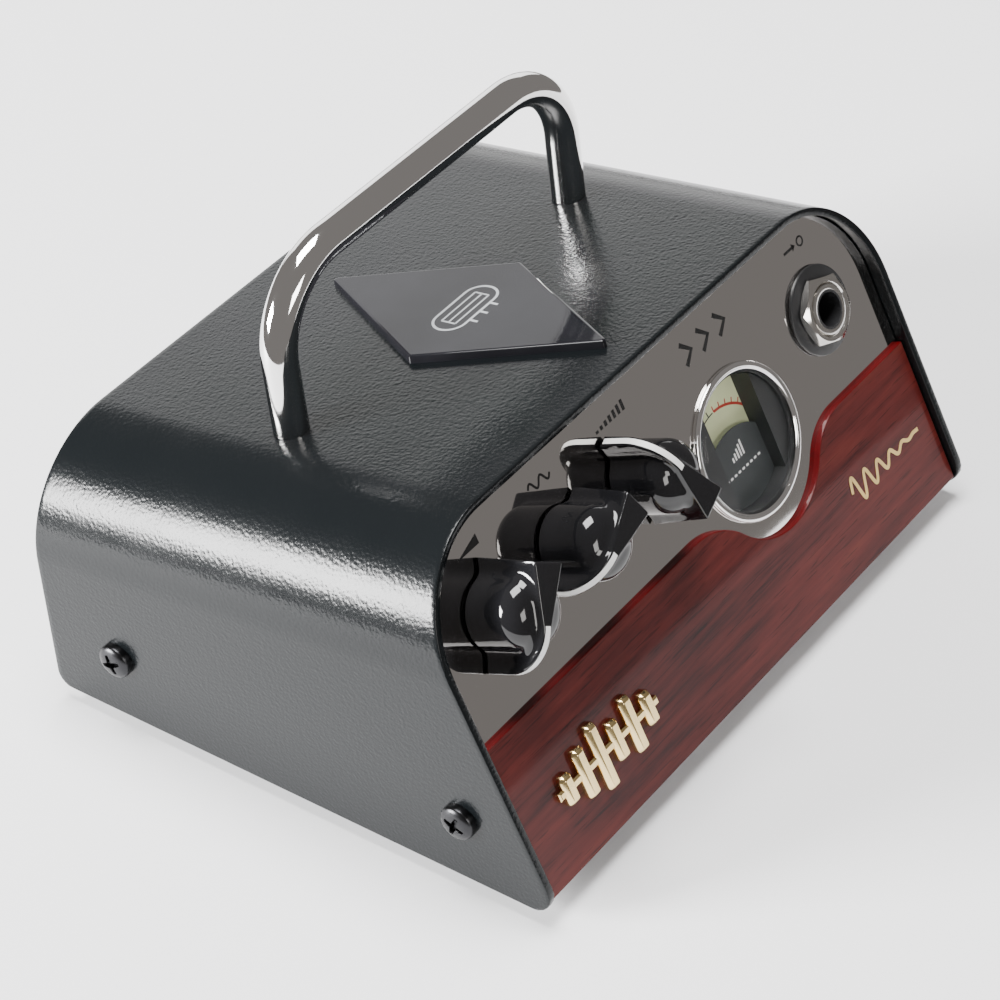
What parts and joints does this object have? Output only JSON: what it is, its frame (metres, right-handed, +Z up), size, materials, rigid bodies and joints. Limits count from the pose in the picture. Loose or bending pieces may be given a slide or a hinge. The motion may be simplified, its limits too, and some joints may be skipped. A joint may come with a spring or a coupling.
{
  "type": "guitar amp head",
  "caption": "Small desktop guitar amp head: folded charcoal cover, leaning mirror-like front plate with pointer knobs, output meter and input jack, wood panel, rod handle.",
  "frame": {"origin": "centre of the whole object's box, on the plane the rubber feet stand on", "axes": "+X to the right seen from the front, -Y towards the player (the front), +Z up"},
  "size_m": [0.1396, 0.1104, 0.0921],
  "materials": {
    "cover_paint": "finely wrinkled semi-gloss charcoal powder coat",
    "rear_paint": "satin black paint",
    "sheet_steel": "zinc-plated sheet",
    "mirror_plate": "polished, slightly warm grey",
    "bright_chrome": "bright polished",
    "nickel": "nickel plated",
    "lacquered_wood": "red-brown veneer with dark streaks under gloss lacquer",
    "gold": "gold plated, polished",
    "black_gloss": "gloss black",
    "knob_plastic": "moulded gloss black",
    "black_plastic": "moulded black",
    "meter_grey": "dark grey print",
    "dial_card": "pale green-cream print",
    "needle_black": "thin black",
    "clear_glass": "clear",
    "green_plastic": "moulded green",
    "copper": "enamelled copper winding",
    "magnet_steel": "sintered magnet",
    "black_screw": "blackened steel",
    "zinc": "zinc-plated steel",
    "black_rubber": "matt",
    "board_green": "solder mask over fibreglass",
    "cable_grey": "flat cable",
    "black_anodised": "black anodised",
    "capacitor_sleeve": "shrunk sleeve",
    "ferrite": "ferrite core",
    "brass": "turned brass"
  },
  "bodies": {
    "case": {"top_cover": "cover_paint", "chassis_tray": "sheet_steel", "rear_panel": "rear_paint", "front_panel": "mirror_plate", "wood_panel": "lacquered_wood", "wood_pins": "zinc", "badge": "gold", "emblem_plate": "black_gloss", "handle": "bright_chrome", "handle_screws": "zinc", "cover_screws": "black_screw", "rear_screws": "black_screw", "rubber_feet": "black_rubber", "feet_screws": "zinc", "pot_bodies": "green_plastic", "pot_washers": "nickel", "pot_nuts": "nickel", "meter_bezel": "bright_chrome", "meter_lens": "clear_glass", "meter_dial": "dial_card", "meter_mask": "meter_grey", "meter_magnet": "magnet_steel", "meter_housing": "black_plastic", "input_jack": "black_plastic", "input_jack_washer": "black_plastic", "input_jack_nut": "nickel", "jack_terminals": "nickel", "speaker_jack": "black_plastic", "headphone_jack": "black_plastic", "rear_jack_washers": "nickel", "rear_jack_nuts": "nickel", "dc_inlet": "black_plastic", "power_switch_housing": "black_plastic", "switch_bodies": "sheet_steel", "main_board": "board_green", "front_board": "board_green", "ribbon_cable": "cable_grey", "heat_sink": "black_anodised", "tube_glass": "clear_glass", "tube_electrodes": "nickel", "tube_holder": "black_rubber", "capacitors": "capacitor_sleeve", "inductors": "ferrite", "power_chips": "black_plastic", "standoffs": "brass", "board_screws": "zinc"},
    "gain_control": {"gain_knob": "knob_plastic", "gain_shaft": "nickel"},
    "tone_control": {"tone_knob": "knob_plastic", "tone_shaft": "nickel"},
    "volume_control": {"volume_knob": "knob_plastic", "volume_shaft": "nickel"},
    "needle": {"meter_needle": "needle_black", "meter_coil": "copper"},
    "rocker": {"power_rocker": "black_plastic"},
    "impedance_switch": {"impedance_slider": "black_plastic"},
    "tone_switch": {"tone_slider": "black_plastic"},
    "level_switch": {"level_slider": "black_plastic"}
  },
  "joints": [
    {"name": "gain_turn", "type": "hinge", "parent": "case", "child": "gain_control", "pos_m": [-0.0509, -0.03432, 0.04835], "axis": [0, -0.9143, 0.4051], "range_deg": [-296, 4]},
    {"name": "tone_turn", "type": "hinge", "parent": "case", "child": "tone_control", "pos_m": [-0.0303, -0.03432, 0.04835], "axis": [0, -0.9143, 0.4051], "range_deg": [-263, 37]},
    {"name": "volume_turn", "type": "hinge", "parent": "case", "child": "volume_control", "pos_m": [-0.0097, -0.03432, 0.04835], "axis": [0, -0.9143, 0.4051], "range_deg": [-172, 128]},
    {"name": "needle_swing", "type": "hinge", "parent": "case", "child": "needle", "pos_m": [0.019, -0.03711, 0.03219], "axis": [0, -0.9143, 0.4051], "range_deg": [-90, 0], "stiffness_Nm_per_rad": 0.0002},
    {"name": "rocker_tilt", "type": "hinge", "parent": "case", "child": "rocker", "pos_m": [0.026, 0.04743, 0.025], "axis": [1, 0, 0], "range_deg": [-20, 0]},
    {"name": "impedance_slide", "type": "slide", "parent": "case", "child": "impedance_switch", "axis": [1, 0, 0], "range_m": [0, 0.0028]},
    {"name": "tone_slide", "type": "slide", "parent": "case", "child": "tone_switch", "axis": [1, 0, 0], "range_m": [0, 0.0028]},
    {"name": "level_slide", "type": "slide", "parent": "case", "child": "level_switch", "axis": [1, 0, 0], "range_m": [0, 0.0028]}
  ]
}
